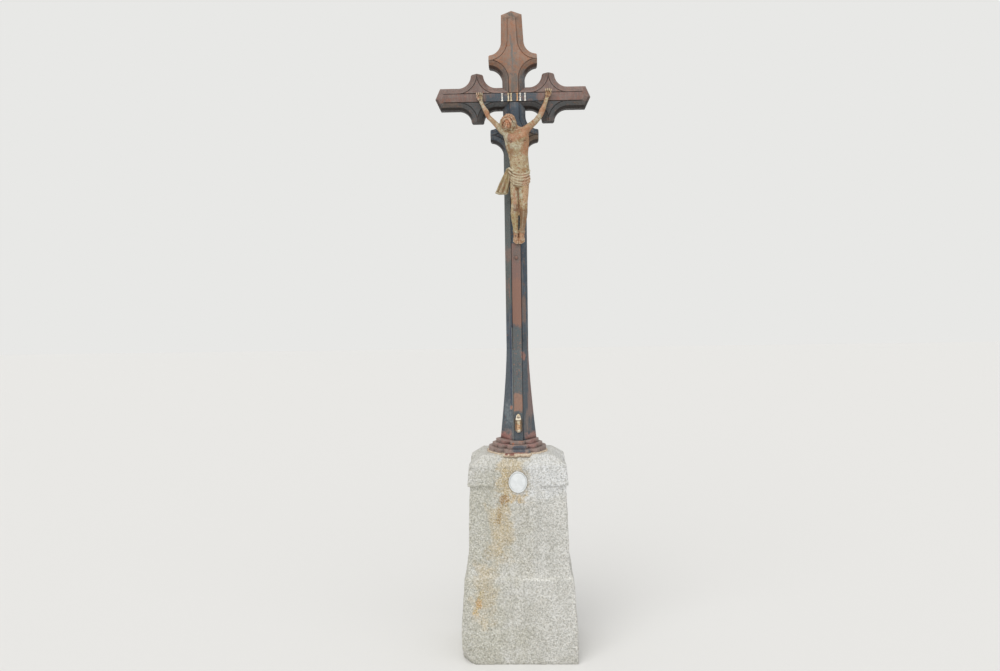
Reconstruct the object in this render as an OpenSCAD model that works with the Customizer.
// Wayside cross: a cast-iron crosslet cross with a cast figure, bedded on a granite plinth.
// Millimetres, +Z up. The front faces -Y and the origin is the middle of the plinth's underside.

/* [Plinth] */
// Width of the plinth at the ground
plinth_w = 414; // [390:1:460]
// Depth of the plinth at the ground
plinth_d = 265; // [250:1:310]
// Height of the lower block, up to its ledge
lower_h = 306; // [270:1:340]
// Height up to which the sides of the lower block stand upright
lower_plumb = 110; // [60:1:180]
// How far each side of the lower block leans in above that
lower_lean = 13; // [8:1:16]
// Width of the sloping ledge on top of the lower block
ledge_w = 5; // [3:1:8]
// Height of the sloping ledge
ledge_h = 7; // [4:1:12]
// Height of the hollow sweep above the ledge
sweep_h = 118; // [90:1:140]
// How far the hollow sweep draws in
sweep_in = 12; // [8:1:15]
// Height of the plain body between the sweep and the cap
body_h = 205; // [180:1:240]
// How far each side of the plain body leans in
body_lean = 7.5; // [4:0.5:10]
// Height of the cap, from the top of the body to its crown
cap_h = 110; // [95:1:125]
// Rise of the sloped top of the cap
hip_rise = 34; // [26:1:40]
// Run of the sloped top at the two ends of the cap
hip_run_side = 38; // [28:1:50]
// Run of the sloped top at the front and back of the cap
hip_run_front = 28; // [22:1:34]
// How far the corner ears stand out from the body
ear_out = 9; // [5:1:12]
// How far the ears lean in towards their top
ear_lean = 7; // [3:1:9]
// Step from the top of the body up to the underside of the ears
ear_lift = 4; // [1:0.5:12]
// Width of the plain field between the ears at the front
field_w = 166; // [130:1:190]
// Width of the plain field between the ears at the ends
field_d = 84; // [60:1:100]
// Width of the corner broken off at the lower left
chip_w = 54; // [25:1:70]
// Height of the corner broken off at the lower left
chip_h = 64; // [35:1:80]

/* [Medallion] */
// Width of the oval enamel medallion
medallion_w = 66; // [50:1:80]
// Height of the oval enamel medallion
medallion_h = 77; // [55:1:84]
// Thickness of the medallion at its rim
medallion_t = 6; // [4:0.5:9]
// Width of its raised rim
medallion_rim = 5; // [3:0.5:8]
// Height of its middle above the top of the body
medallion_up = 19; // [8:1:32]

/* [Foot of the cross] */
// Thickness of the mortar bed
mortar_t = 2.5; // [2:0.5:10]
// How far the mortar spreads past the foot plate
mortar_spread = 7; // [3:1:9]
// Width of the foot plate, from the tip of one end lobe to the other
plate_w = 205; // [190:1:222]
// Depth of its end lobes
end_lobe_d = 80; // [60:1:90]
// Width of its main lobe
main_lobe_w = 160; // [140:1:176]
// Depth of its main lobe
main_lobe_d = 114; // [100:1:124]
// Width of its middle lobe
mid_lobe_w = 94; // [80:1:120]
// Depth of the foot plate, across the middle lobe
plate_d = 142; // [128:1:146]
// Thickness of the foot plate
plate_t = 14; // [8:1:18]
// How far each step is set in from the one below, at the front and back
step_in = 10.5; // [6:0.5:12]
// How far each step is set in from the one below, at the two ends
step_in_end = 13; // [8:0.5:16]
// Thickness of each step
step_t = 13.5; // [8:0.5:18]

/* [Cross] */
// Height of the cross from the steps to the middle of its bar
cross_rise = 1190; // [1150:0.5:1230]
// How far the shaft stands to the right of the middle of the bar
shaft_x = 4.5; // [0:0.5:8]
// Width of the shaft and the head
shaft_w = 77; // [72:1:84]
// Width of the head at its top
head_w = 69; // [66:1:77]
// How far the head leans to the left, in degrees
head_lean = 1.2; // [0:0.1:2]
// Height of the bar
bar_h = 72; // [62:1:76]
// Length of the bar from point to point
bar_len = 532; // [510:1:560]
// Length of the head from the middle of the bar to its point
head_len = 289; // [276:1:300]
// Depth of the castings from the open back to the face
cross_d = 58; // [52:1:64]
// Depth of the plain side wall
side_d = 36; // [30:1:38]
// Width of the chamfer along each edge
chamfer_w = 20.5; // [18:0.5:22]
// Width of the groove beside the band
groove_w = 2.5; // [1.5:0.5:3.5]
// Depth of the groove beside the band
groove_d = 2; // [1:0.5:3]
// How far the band stands in front of the chamfers
band_lift = 1.5; // [1:0.5:2.5]
// Wall of the hollow castings
wall = 8; // [6:0.5:10]
// Rise of the point at each end of the bar
bar_point = 17; // [12:1:22]
// Rise of the low gable on the head
head_point = 14; // [10:1:18]

/* [Crosslets] */
// Distance from the middle of the bar to each crosslet of the bar
crosslet_x = 121.5; // [118:0.5:128]
// Distance from the middle of the bar to the crosslets of the head and shaft
crosslet_z = 125; // [122:0.5:134]
// Radius of the hollow corners, which is also the length of the short arms
crosslet_r = 44; // [40:1:50]
// Width of a short arm at its end
stub_w = 42; // [34:1:44]
// Size of the blunted corners of a short arm
stub_blunt = 5; // [2:0.5:7]

/* [Shaft foot] */
// Height of the flare at the foot of the shaft
flare_h = 325; // [240:1:340]
// How far the flare spreads to each side
flare_side = 26; // [20:1:34]
// How far the flare spreads to the front
flare_front = 15; // [10:1:20]
// How hollow the flare is, where 1 is straight
flare_power = 1.4; // [1.1:0.1:2.2]

/* [Small fittings] */
// Height of the six title pegs
peg_h = 26; // [18:1:28]
// Diameter of a title peg
peg_dia = 8; // [6:0.5:9]
// Diameter of the bolt head below the feet
bolt_dia = 13; // [9:0.5:18]
// Height of that bolt head
bolt_h = 5; // [3:0.5:8]
// Distance of that bolt below the middle of the bar
bolt_drop = 543; // [520:1:600]
// Diameter of the nails
nail_dia = 4; // [3:0.5:5]
// Diameter of the nail heads
nail_head = 8; // [6:0.5:10]
// Height of the little statue, from the lip of its bracket to the top of its head
statue_h = 66; // [52:1:76]
// Width of the little statue's mantle
statue_w = 28; // [22:1:34]
// Height of the lip of its bracket above the steps
statue_up = 32; // [20:1:60]

/* [Figure] */
// Height of the figure from the crown of the head to the toes
figure_h = 435; // [420:1:445]
// Stand-off between the figure and the cross
figure_gap = 0.3; // [0.2:0.1:1]

/* [Hidden] */

granite = [0.76, 0.75, 0.71];
rusty_iron = [0.52, 0.38, 0.31];
painted_iron = [0.30, 0.36, 0.42];
old_paint = [0.75, 0.68, 0.52];
enamel = [0.93, 0.94, 0.95];
mortar = [0.84, 0.78, 0.70];

// Heights of the plinth from the ground
ledge_z = lower_h + ledge_h;
body_z = ledge_z + sweep_h;
cap_z = body_z + body_h;
plinth_h = cap_z + cap_h;

// Half widths and half depths of the plinth where its outline turns
function setbacks() = [0, lower_lean, lower_lean + ledge_w, lower_lean + ledge_w + sweep_in,
    lower_lean + ledge_w + sweep_in + body_lean];
cap_half_w = plinth_w / 2 - setbacks()[4];
cap_half_d = plinth_d / 2 - setbacks()[4];

// Heights of the foot and the cross
plate_z = plinth_h + mortar_t;
step_z = plate_z + plate_t;
shaft_z = step_z + 2 * step_t;
cross_z = shaft_z + cross_rise;
face_y = -cross_d / 2;
edge_d = cross_d - band_lift;
inner_edge = chamfer_w + groove_w;
crosslet_span = stub_w / 2 + crosslet_r;
eps = 1;

// The plinth

// One side of the plinth's outline, as half widths and heights from the ground up
function plinth_side(half) = concat(
    [[half, 0], [half, lower_plumb], [half - setbacks()[1], lower_h]],
    [for (i = [0 : 6]) let (a = 90 * i / 6)
        [half - setbacks()[2] - sweep_in * sin(a), ledge_z + sweep_h * (1 - cos(a))]],
    [[half - setbacks()[4], cap_z]]);

function mirrored(side) = [for (i = [len(side) - 1 : -1 : 0]) [-side[i][0], side[i][1]]];

// A prism along Y, or along X when turned, whose section is the closed outline
module tall_prism(side, depth) {
    rotate([90, 0, 0]) linear_extrude(depth, center = true) polygon(concat(side, mirrored(side)));
}

module both_ways(half_w, half_d, side_w, side_d) {
    intersection() {
        tall_prism(side_w, 2 * half_d + 2 * eps);
        rotate([0, 0, 90]) tall_prism(side_d, 2 * half_w + 2 * eps);
    }
}

// The cap's outline: a body side or an ear side, then the sloped top
function cap_side(low, high, top) = [[low, cap_z], [high, plinth_h - hip_rise], [top, plinth_h]];

module cap_core() {
    both_ways(plinth_w / 2, plinth_d / 2,
        cap_side(cap_half_w, cap_half_w - ear_lean, cap_half_w - ear_lean - hip_run_side),
        cap_side(cap_half_d, cap_half_d, cap_half_d - hip_run_front));
}

module cap_ears() {
    intersection() {
        both_ways(plinth_w / 2, plinth_d / 2,
            cap_side(cap_half_w + ear_out, cap_half_w + ear_out - ear_lean,
                cap_half_w - ear_lean - hip_run_side),
            cap_side(cap_half_d + ear_out, cap_half_d + ear_out - ear_lean,
                cap_half_d - hip_run_front));
        for (x = [-1, 1], y = [-1, 1])
            translate([x * plinth_w / 2, y * plinth_d / 2, cap_z + ear_lift + plinth_h / 2])
                cube([plinth_w - field_w, plinth_d - field_d, plinth_h], center = true);
    }
}

// Everything below a tilted plane that meets the corner's three edges at w, d and h
module corner_slice(w, d, h) {
    size = 3 * max(w, d, h);
    steep = norm([1 / w, 1 / d, 1 / h]);
    translate([-plinth_w / 2, -plinth_d / 2, 0])
        rotate([0, acos(1 / (h * steep)), atan2(1 / d, 1 / w)])
            translate([-size / 2, -size / 2, 1 / steep - size]) cube(size);
}

// The missing corner: two tilted breaks meet in a ridge
module broken_corner() {
    corner_slice(chip_w * 0.8, chip_w * 1.1, chip_h);
    corner_slice(chip_w, chip_w * 0.8, chip_h * 0.75);
}

function oval(w, h) = [for (i = [0 : 35]) [w / 2 * cos(10 * i), h / 2 * sin(10 * i)]];

// Things on the front of the cap, drawn flat round the middle of the medallion
module on_cap() {
    translate([0, -cap_half_d, cap_z + medallion_up]) rotate([90, 0, 0]) children();
}

module plinth_block() {
    color(granite) difference() {
        union() {
            both_ways(plinth_w / 2, plinth_d / 2, plinth_side(plinth_w / 2), plinth_side(plinth_d / 2));
            cap_core();
            cap_ears();
        }
        broken_corner();
        on_cap() linear_extrude(2 * medallion_t) polygon(oval(medallion_w, medallion_h));
    }
}

module medallion() {
    color(enamel) on_cap() {
        linear_extrude(medallion_t * 0.6) polygon(oval(medallion_w, medallion_h));
        linear_extrude(medallion_t) difference() {
            polygon(oval(medallion_w, medallion_h));
            polygon(oval(medallion_w - 2 * medallion_rim, medallion_h - 2 * medallion_rim));
        }
    }
}

// The stepped foot: three lobes one over the other, each with its corners cut off

// What is cut off the corners of each lobe, across and from front to back, where the lobe is deep enough
end_cut = [16, 22];
main_cut = [10, 10];
mid_cut = [8, 6];

module lobe(w, d, cut) {
    deep = min(cut[1], 0.42 * d);
    side = [[w / 2 - cut[0], -d / 2], [w / 2, deep - d / 2], [w / 2, d / 2 - deep],
        [w / 2 - cut[0], d / 2]];
    polygon(concat(side, [for (i = [3 : -1 : 0]) [-side[i][0], side[i][1]]]));
}

// One layer of the foot, spread past the foot plate by one amount at its tips and another elsewhere
module foot_layer(tips, spread, t) {
    linear_extrude(t) {
        lobe(plate_w + 2 * tips, end_lobe_d + 2 * spread, end_cut);
        lobe(main_lobe_w + 2 * spread, main_lobe_d + 2 * spread, main_cut);
        lobe(mid_lobe_w + 2 * spread, plate_d + 2 * spread, mid_cut);
    }
}

module mortar_bed() {
    color(mortar) translate([0, 0, plinth_h]) foot_layer(mortar_spread, mortar_spread, mortar_t);
}

module foot_plate() {
    color(rusty_iron) translate([0, 0, plate_z]) foot_layer(0, 0, plate_t);
}

module foot_step(level) {
    color(rusty_iron) translate([0, 0, step_z + (level - 1) * step_t])
        foot_layer(-step_in_end * level, -step_in * level, step_t);
}

// The cross, drawn flat on its back: X across, Y up the shaft, Z towards the front

module stand() {
    translate([0, cross_d / 2, cross_z]) rotate([90, 0, 0]) children();
}

// The moulded edge as distances in from the outline and depths from the back
rim = [[0, 0], [0, side_d], [chamfer_w, edge_d], [chamfer_w, edge_d - groove_d],
    [inner_edge, edge_d - groove_d], [inner_edge, cross_d]];
plain_rim = [[0, 0], [0, side_d], [chamfer_w, edge_d], [chamfer_w, cross_d + eps]];
core_rim = [[wall, -eps], [wall, side_d - wall / 2], [chamfer_w, edge_d - groove_d - wall]];

function section(edge, w) = concat([for (p = edge) [p[0] - w / 2, p[1]]],
    [for (i = [len(edge) - 1 : -1 : 0]) [w / 2 - edge[i][0], edge[i][1]]]);

module straight(edge, w, from, to) {
    translate([0, to, 0]) rotate([90, 0, 0]) linear_extrude(to - from) polygon(section(edge, w));
}

// A run that narrows evenly from w to end_w: each half of it leans in, and they meet in the middle
module tapering(edge, w, end_w, from, to) {
    lean = atan2((w - end_w) / 2, to - from);
    for (side = [0, 1])
        mirror([side, 0, 0]) intersection() {
            translate([w / 2, from, 0]) rotate([0, 0, lean]) translate([-w / 2, 0, 0])
                straight(edge, w, -eps, to - from + 2 * eps);
            translate([0, from, -2 * eps]) cube([w, to - from, cross_d + 4 * eps]);
        }
}

// A quarter of a crosslet: the edge turned round the centre of its hollow corner
module quarter(edge, w, end_wall) {
    cx = w / 2 + crosslet_r;
    far = norm([cx, crosslet_span]) + eps;
    turned = concat([for (p = edge) [crosslet_r + p[0], p[1]]],
        [[far, edge[len(edge) - 1][1]], [far, edge[0][1]]]);
    intersection() {
        translate([cx, crosslet_span, 0]) rotate([0, 0, 180]) rotate_extrude(angle = 90, $fn = 96)
            polygon(turned);
        translate([0, 0, -2 * eps]) cube([cx - end_wall, crosslet_span, cross_d + 4 * eps]);
    }
}

module crosslet(edge, w, at, end_wall = 0) {
    translate([0, at, 0]) {
        quarter(edge, w, end_wall);
        mirror([1, 0, 0]) quarter(edge, w, end_wall);
        mirror([0, 1, 0]) {
            quarter(edge, w, end_wall);
            mirror([1, 0, 0]) quarter(edge, w, end_wall);
        }
    }
}

// Blunts the four end corners of a crosslet's short arms
module blunting(w, at) {
    for (x = [-1, 1], y = [-1, 1])
        translate([x * (w / 2 + crosslet_r), at + y * stub_w / 2, cross_d / 2]) rotate([0, 0, 45])
            cube([stub_blunt, stub_blunt, cross_d + 2 * eps], center = true);
}

// Cuts an end to a point, with the chamfer carried round it
module point_cut(w, end, rise) {
    slope = chamfer_w / (edge_d - side_d);
    top = cross_d + eps;
    for (s = [-1, 1])
        translate([0, end, 0]) rotate([0, 0, -s * atan2(rise, w / 2)]) rotate([90, 0, 90])
            linear_extrude(2 * w, center = true)
                polygon([[0, -eps], [0, side_d], [-slope * (top - side_d), top], [w, top], [w, -eps]]);
}

module bar_form(edge, inset) {
    c = crosslet_x;
    s = crosslet_span;
    far = bar_len / 2 - inset;
    rotate([0, 0, -90]) {
        straight(edge, bar_h, -far, -c - s);
        crosslet(edge, bar_h, -c, inset > 0 ? wall : 0);
        straight(edge, bar_h, s - c, c - s);
        crosslet(edge, bar_h, c, inset > 0 ? wall : 0);
        straight(edge, bar_h, c + s, far);
    }
}

// The straight grooves beside the band, which run on across the crosslets of the bar
module band_grooves() {
    for (y = [-1, 1])
        translate([0, y * (bar_h / 2 - chamfer_w - groove_w / 2), edge_d - groove_d + cross_d])
            cube([2 * (crosslet_x + crosslet_span), groove_w, 2 * cross_d], center = true);
}

module cross_bar() {
    color(rusty_iron) stand() difference() {
        bar_form(rim, 0);
        band_grooves();
        bar_form(core_rim, bar_point + wall);
        rotate([0, 0, -90]) {
            blunting(bar_h, crosslet_x);
            blunting(bar_h, -crosslet_x);
            point_cut(bar_h, bar_len / 2, bar_point);
            mirror([0, 1, 0]) point_cut(bar_h, bar_len / 2, bar_point);
        }
    }
}

// The bar's plain form, which the head and the shaft are fitted over
module bar_seat() {
    rotate([0, 0, -90]) straight(plain_rim, bar_h, -shaft_w, shaft_w);
}

module upright_form(edge, from, to, at, end_wall = 0, end_w = 0) {
    straight(edge, shaft_w, from, at - crosslet_span);
    crosslet(edge, shaft_w, at, end_wall);
    if (end_w > 0) tapering(edge, shaft_w, end_w, at + crosslet_span, to);
    else straight(edge, shaft_w, at + crosslet_span, to);
}

seat_y = bar_h / 2 - chamfer_w;

// The head is drawn upright and then leans over the bar
module cross_head() {
    color(rusty_iron) stand() difference() {
        translate([shaft_x, 0, 0]) rotate([0, 0, head_lean]) difference() {
            upright_form(rim, seat_y - eps, head_len, crosslet_z, 0, head_w);
            upright_form(core_rim, seat_y - 2 * eps, head_len - head_point - wall, crosslet_z, wall, head_w);
            blunting(shaft_w, crosslet_z);
            point_cut(shaft_w, head_len, head_point);
        }
        bar_seat();
    }
}

module cross_shaft() {
    low = flare_h - cross_rise;
    color(painted_iron) stand() difference() {
        translate([shaft_x, 0, 0]) difference() {
            upright_form(rim, low, -seat_y, -crosslet_z);
            upright_form(core_rim, low - eps, eps - seat_y, -crosslet_z, wall);
            blunting(shaft_w, -crosslet_z);
        }
        bar_seat();
    }
}

// The flared foot of the shaft: every face of the shaft's section spreads in a hollow sweep

// How far from the axis a face lies at height z, when it lies n from it at the top of the flare
function flare_at(n, out, z) = n + out * pow(1 - z / flare_h, flare_power);

// A standing slab whose face lies n from the axis at its top and n + out at its foot
module swept_slab(turn, n, out, breadth) {
    steps = 8;
    back = 3 * shaft_w;
    face = [for (i = [0 : steps]) let (z = flare_h * i / steps) [flare_at(n, out, z), z]];
    rotate([0, 0, turn]) rotate([90, 0, 0]) linear_extrude(breadth, center = true)
        polygon(concat(face, [[-back, flare_h], [-back, 0]]));
}

chamfer_turn = atan2(chamfer_w, edge_d - side_d);
chamfer_n = shaft_w / 2 * cos(chamfer_turn) + (side_d - cross_d / 2) * sin(chamfer_turn);

module flare_form(inset) {
    wide = 6 * shaft_w;
    intersection() {
        swept_slab(0, shaft_w / 2 - inset, flare_side, wide);
        swept_slab(180, shaft_w / 2 - inset, flare_side, wide);
        swept_slab(-chamfer_turn, chamfer_n - inset, flare_front * sin(chamfer_turn), wide);
        swept_slab(chamfer_turn - 180, chamfer_n - inset, flare_front * sin(chamfer_turn), wide);
        swept_slab(-90, edge_d - cross_d / 2 - inset, flare_front, wide);
        translate([-wide / 2, cross_d / 2 - wide + (inset > 0 ? eps : 0), 0])
            cube([wide, wide, flare_h]);
    }
}

module shaft_foot() {
    band = shaft_w - 2 * inner_edge;
    color(painted_iron) translate([shaft_x, 0, shaft_z]) difference() {
        union() {
            flare_form(0);
            intersection() {
                swept_slab(-90, cross_d / 2, flare_front, band);
                translate([-band / 2, -2 * cross_d, 0]) cube([band, 2 * cross_d + wall, flare_h]);
            }
        }
        difference() {
            for (x = [-1, 1])
                translate([x * (band + groove_w) / 2 - groove_w / 2, -3 * cross_d, -eps])
                    cube([groove_w, 3 * cross_d, flare_h + 2 * eps]);
            swept_slab(-90, edge_d - groove_d - cross_d / 2, flare_front, 2 * shaft_w);
        }
        flare_form(wall);
    }
}

// Small fittings on the band

peg_places = [-36, -14.5, -5.5, 15.5, 25.5, 42];

module title_pegs() {
    r = peg_dia / 2;
    color(old_paint) for (x = peg_places)
        translate([x, face_y, cross_z - peg_h / 2]) rotate([0, 0, 180])
            rotate_extrude(angle = 180, $fn = 32)
                polygon([[0, 0], [r, 0], [r, 3], [r * 0.6, 5], [r * 0.45, peg_h / 2], [r * 0.6, peg_h - 5],
                    [r, peg_h - 3], [r, peg_h], [0, peg_h]]);
}

module shaft_bolt() {
    color(rusty_iron) translate([shaft_x, face_y, cross_z - bolt_drop]) rotate([90, 0, 0]) {
        cylinder(bolt_h * 0.5, d = bolt_dia, $fn = 48);
        cylinder(bolt_h, d = bolt_dia * 0.6, $fn = 48);
    }
}

// Half the statue's outline, as shares of its half width and its height: the bracket it stands
// on, the hem, the waist, the elbows and the shoulders
statue_side = [[0, 0], [0.45, 0], [0.9, 0.12], [0.62, 0.38], [0.72, 0.56], [0.56, 0.74], [0.22, 0.8],
    [0.22, 0.86], [0, 0.86]];

module foot_statue() {
    back = -flare_at(cross_d / 2, flare_front, statue_up);
    r = statue_w / 2;
    head_r = r * 0.42;
    color(old_paint) difference() {
        translate([shaft_x, back - r * 0.35, shaft_z + statue_up]) {
            rotate_extrude($fn = 40) polygon([for (p = statue_side) [r * p[0], statue_h * p[1]]]);
            translate([0, 0, statue_h - head_r]) sphere(head_r, $fn = 32);
        }
        translate([shaft_x, 0, shaft_z])
            swept_slab(-90, cross_d / 2 + figure_gap, flare_front, 3 * statue_w);
    }
}

// The figure

// The figure's places and radii below are drawn for this height, and follow its real height
drawn_h = 435;
k = figure_h / drawn_h;

// A place on the figure, as X from the axis, Y in front of the band and Z from the bar's middle
function at(x, out, z) = [k * x, face_y - k * out, cross_z + k * z];

module ball(p, r) translate(p) sphere(k * r);
module egg(p, size) translate(p) scale(k * size) sphere(1);
module limb(a, ra, b, rb) hull() { ball(a, ra); ball(b, rb); }
module eggs(a, sa, b, sb) hull() { egg(a, sa); egg(b, sb); }
module limbs(points, radii) {
    for (i = [0 : len(points) - 2]) limb(points[i], radii[i], points[i + 1], radii[i + 1]);
}

// How far the middle of the body lies in front of the band
fig = 30;

// Where the castings of the figure meet
shoulder_cut_left = -38;
shoulder_cut_right = 45;
armpit_cut = -127;
neck_cut = -110;
waist_cut = -247;
hem_cut = -302;
tail_cut = -14;
leg_cut = 14.5;

shoulder_left = at(-35, fig, -117);
shoulder_right = at(43, fig, -114);
palm_left = at(-111, 8, 0);
palm_right = at(120, 8, 11);
nail_left = at(-110.5, 0, -10);
nail_right = at(117.5, 0, -1.5);
hand_nail = 12 * k;
foot_nail = 18 * k;
foot_nail_z = -468;
foot_left = 3.5;
foot_right = 26.5;

// The space in front of the band between two heights and two sides, in the figure's own places
space_out = 90;
space_x = [-140, 150];
space_z = [-510, 60];

module region(x0, x1, z0, z1) {
    clear = k * space_out;
    translate([k * x0, -clear - cross_d / 2, cross_z + k * z0])
        cube([k * (x1 - x0), clear - figure_gap, k * (z1 - z0)]);
}

module figure_torso() {
    $fn = 18;
    color(old_paint) intersection() {
        union() {
            eggs(at(20, fig - 2, -255), [32, 21, 12], at(17.5, fig - 2, -212), [30.5, 19, 12]);
            eggs(at(17.5, fig - 2, -212), [30.5, 19, 12], at(13.5, fig, -174), [37, 23, 16]);
            eggs(at(13.5, fig, -174), [37, 23, 16], at(10.5, fig + 1, -148), [41, 24, 17]);
            eggs(at(10.5, fig + 1, -148), [41, 24, 17], at(5, fig - 1, -123), [38, 17, 10]);
            limb(at(-22, fig, -128), 13, shoulder_left, 11);
            limb(at(32, fig, -126), 14, shoulder_right, 12);
            limb(shoulder_left, 10, at(-22, fig, -170), 7);
            limb(shoulder_right, 11, at(43, fig, -172), 8);
            limb(at(5, fig - 2, -119), 13, at(-2, fig + 1, -106), 11);
            eggs(at(-9, fig + 19, -144), [14, 7, 10], at(-20, fig + 10, -129), [9, 9, 8]);
            eggs(at(26, fig + 19, -142), [14, 7, 10], at(35, fig + 10, -126), [9, 9, 8]);
            eggs(at(15, fig + 13, -186), [12, 7, 12], at(17, fig + 11, -222), [17, 9, 14]);
        }
        union() {
            region(shoulder_cut_left, shoulder_cut_right, armpit_cut, neck_cut);
            region(space_x[0], space_x[1], waist_cut, armpit_cut);
        }
    }
}

// The bowed head is drawn upright round its own middle: the skull, the face, the brow, the nose,
// the two halves of the beard and the long hair at the sides and the back
module figure_head() {
    color(old_paint) intersection() {
        union() {
            limb(at(1, fig, -114), 11.5, at(-8, fig + 6, -98), 11.5, $fn = 18);
            translate(at(-18, fig + 11, -87)) rotate([0, 4, 0]) rotate([24, 0, -18]) scale(k) {
                translate([0, 4, 5]) scale([23.5, 23, 20.5]) sphere(1, $fn = 22);
                translate([0, -4, -3]) scale([15.5, 18, 21]) sphere(1, $fn = 18);
                hull() {
                    translate([-9, -17, 4]) sphere(3, $fn = 10);
                    translate([9, -17, 4]) sphere(3, $fn = 10);
                }
                hull() {
                    translate([0, -23, 1]) sphere(2, $fn = 8);
                    translate([0, -26, -5]) sphere(3, $fn = 8);
                }
                for (s = [-1, 1]) {
                    hull() {
                        translate([s * 6, -14, -15]) sphere(6, $fn = 12);
                        translate([s * 2, -14, -24]) sphere(4.5, $fn = 12);
                    }
                    hull() {
                        translate([s * 19, 1, 6]) sphere(6.5, $fn = 12);
                        translate([s * 18, -2, -22]) sphere(5.5, $fn = 12);
                    }
                    hull() {
                        translate([s * 12, 12, 0]) sphere(9, $fn = 12);
                        translate([s * 12, 12, -20]) sphere(7, $fn = 12);
                    }
                }
            }
        }
        region(space_x[0], space_x[1], neck_cut, space_z[1]);
    }
}

// The hole for a nail, with a seat for its head, cut clear of the nail all round
module nail_seat(place, reach) {
    translate(place) rotate([90, 0, 0]) {
        cylinder(reach, d = nail_dia + 2 * figure_gap, $fn = 24);
        translate([0, 0, reach - figure_gap])
            cylinder(k * space_out, d = nail_head + 2 * figure_gap, $fn = 24);
    }
}

// A raised arm from the shoulder to the fingers, bored for its nail
module arm(points, radii, palm, nail, lean) {
    difference() {
        union() {
            limbs(points, radii);
            eggs(points[4], [5.5, 5, 5], palm, [8.5, 5.5, 8]);
            for (i = [-1.5, -0.5, 0.5, 1.5])
                limb(palm + k * [i * 3.8, 0, 4], 2.6,
                    palm + k * [i * 3.8 + lean, -5, 15 - abs(i)], 2.1, $fn = 10);
            limb(palm + k * [sign(lean) * 6, -1, -1], 2.8,
                palm + k * [sign(lean) * 12, -4, 1], 2.3, $fn = 10);
        }
        nail_seat(nail, hand_nail);
    }
}

module figure_arm_left() {
    $fn = 14;
    points = [shoulder_left, at(-51, fig - 2, -101), at(-73, fig - 6, -79), at(-92, 20, -48),
        at(-105, 12, -22)];
    color(old_paint) intersection() {
        arm(points, [11, 9.8, 8, 8.2, 5.8], palm_left, nail_left, -2);
        region(space_x[0], shoulder_cut_left, armpit_cut, space_z[1]);
    }
}

module figure_arm_right() {
    $fn = 14;
    points = [shoulder_right, at(61, fig - 2, -99), at(83, fig - 6, -76), at(101, 20, -48),
        at(112, 12, -15)];
    color(old_paint) intersection() {
        arm(points, [12.2, 11, 9.4, 8.8, 6.4], palm_right, nail_right, 2);
        region(shoulder_cut_right, space_x[1], armpit_cut, space_z[1]);
    }
}

// One sagging fold of the loincloth, from hip to hip
module fold(left, middle, right, r) {
    steps = 5;
    rope = [for (i = [0 : steps]) let (t = i / steps)
        (1 - t) * (1 - t) * left + 2 * t * (1 - t) * (2 * middle - (left + right) / 2) + t * t * right];
    limbs(rope, [for (i = [0 : steps]) r]);
}

module loincloth() {
    $fn = 10;
    color(old_paint) intersection() {
        union() {
            eggs(at(20, fig - 2, -244), [33.5, 23, 10], at(21, fig, -266), [36.5, 25, 14], $fn = 22);
            eggs(at(21, fig, -266), [36.5, 25, 14], at(20.5, fig + 1, -296), [34.5, 24, 12], $fn = 22);
            fold(at(-12, fig + 6, -249), at(14, fig + 24, -257), at(53, fig + 8, -250), 3.2);
            fold(at(-12, fig + 8, -254), at(18, fig + 26, -270), at(56, fig + 8, -258), 3.4);
            fold(at(-11, fig + 10, -260), at(22, fig + 27, -283), at(56, fig + 8, -266), 3.6);
            fold(at(-8, fig + 14, -266), at(23, fig + 27, -297), at(55, fig + 8, -275), 3.8);
        }
        region(tail_cut, space_x[1], hem_cut, waist_cut);
    }
}

module loincloth_tail() {
    $fn = 12;
    color(old_paint) intersection() {
        union() {
            eggs(at(-14, fig - 2, -245), [9, 9, 7], at(-27, fig - 4, -262), [10, 8, 9]);
            eggs(at(-27, fig - 4, -262), [10, 8, 9], at(-42, fig - 6, -302), [18, 7, 12]);
            eggs(at(-42, fig - 6, -302), [18, 7, 12], at(-51, fig - 6, -318), [17, 6, 8]);
            for (i = [0 : 3])
                limb(at(-24 - 2 * i, fig + 1, -254), 3.4, at(-40 - 8 * i, fig, -320 + 2 * i), 3);
            limb(at(-14, fig + 5, -246), 4, at(-28, fig + 2, -252), 4);
            limb(at(-65, fig - 2, -321), 3.4, at(-39, fig - 2, -325), 3.4);
        }
        region(space_x[0], tail_cut, hem_cut - 30, neck_cut);
    }
}

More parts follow.
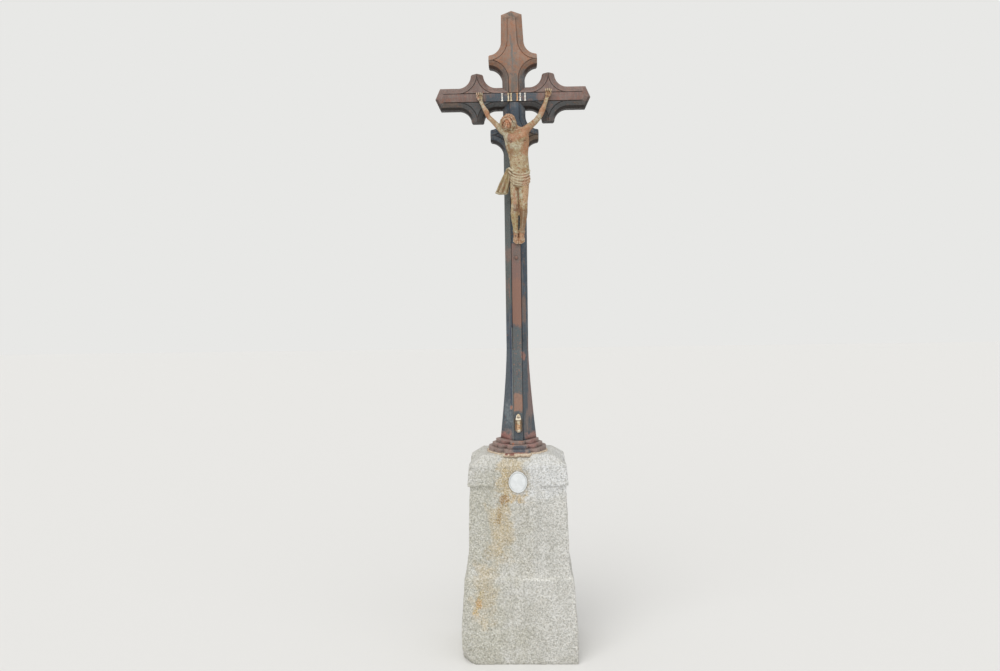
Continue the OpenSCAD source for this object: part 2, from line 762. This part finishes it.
// A leg from the hem to the toes, with the sole towards the shaft
module leg(hip, knee_x, calf, foot_x, foot_r) {
    knee = at(knee_x, fig + 5, -370);
    foot_out = 8.5;
    toes_z = -482;
    difference() {
        union() {
            eggs(at(hip[0], fig + 1, -300), [hip[1], 18, 12], knee, [13.2, 13.5, 13]);
            eggs(knee, [13.2, 13.5, 13], at(calf[0], fig - 3, -402), [calf[1], 13.5, 15]);
            limb(at(calf[0], fig - 3, -402), calf[1], at(foot_x, 18, -447), 8.6);
            limb(at(foot_x, 18, -447), 8.6, at(foot_x, foot_out + 3, toes_z), foot_r - 2);
            limb(at(foot_x, foot_out + 2, -459), foot_r - 1, at(foot_x, foot_out, toes_z), foot_r - 0.5);
            for (i = [-2 : 2])
                limb(at(foot_x + i * foot_r * 0.42, foot_out, toes_z), 3.1,
                    at(foot_x + i * foot_r * 0.42, foot_out, abs(i) - 495), 2.6, $fn = 10);
        }
        nail_seat(at(foot_x, 0, foot_nail_z), foot_nail);
    }
}

module figure_leg_left() {
    $fn = 16;
    color(old_paint) intersection() {
        leg([1, 16], 2, [1.5, 13], foot_left, 9.3);
        region(space_x[0], leg_cut, space_z[0], hem_cut);
    }
}

module figure_leg_right() {
    $fn = 16;
    color(old_paint) intersection() {
        leg([33, 20], 31.5, [31.5, 13], foot_right, 10.5);
        region(leg_cut, space_x[1], space_z[0], hem_cut);
    }
}

// A nail from the band through the hand or foot to its head
module nail(place, reach) {
    color(rusty_iron) translate(place) rotate([90, 0, 0]) {
        cylinder(reach, d = nail_dia, $fn = 32);
        translate([0, 0, reach]) cylinder(2.5, d1 = nail_head, d2 = nail_head * 0.5, $fn = 32);
    }
}

plinth_block();
mortar_bed();
medallion();
foot_plate();
foot_step(1);  // foot_step_lower
foot_step(2);  // foot_step_upper
shaft_foot();
cross_shaft();
cross_bar();
cross_head();
title_pegs();
shaft_bolt();
foot_statue();
nail(nail_left, hand_nail);  // hand_nail_left
nail(nail_right, hand_nail);  // hand_nail_right
nail(at(foot_left, 0, foot_nail_z), foot_nail);  // foot_nail_left
nail(at(foot_right, 0, foot_nail_z), foot_nail);  // foot_nail_right
figure_torso();
figure_head();
figure_arm_left();
figure_arm_right();
loincloth();
loincloth_tail();
figure_leg_left();
figure_leg_right();
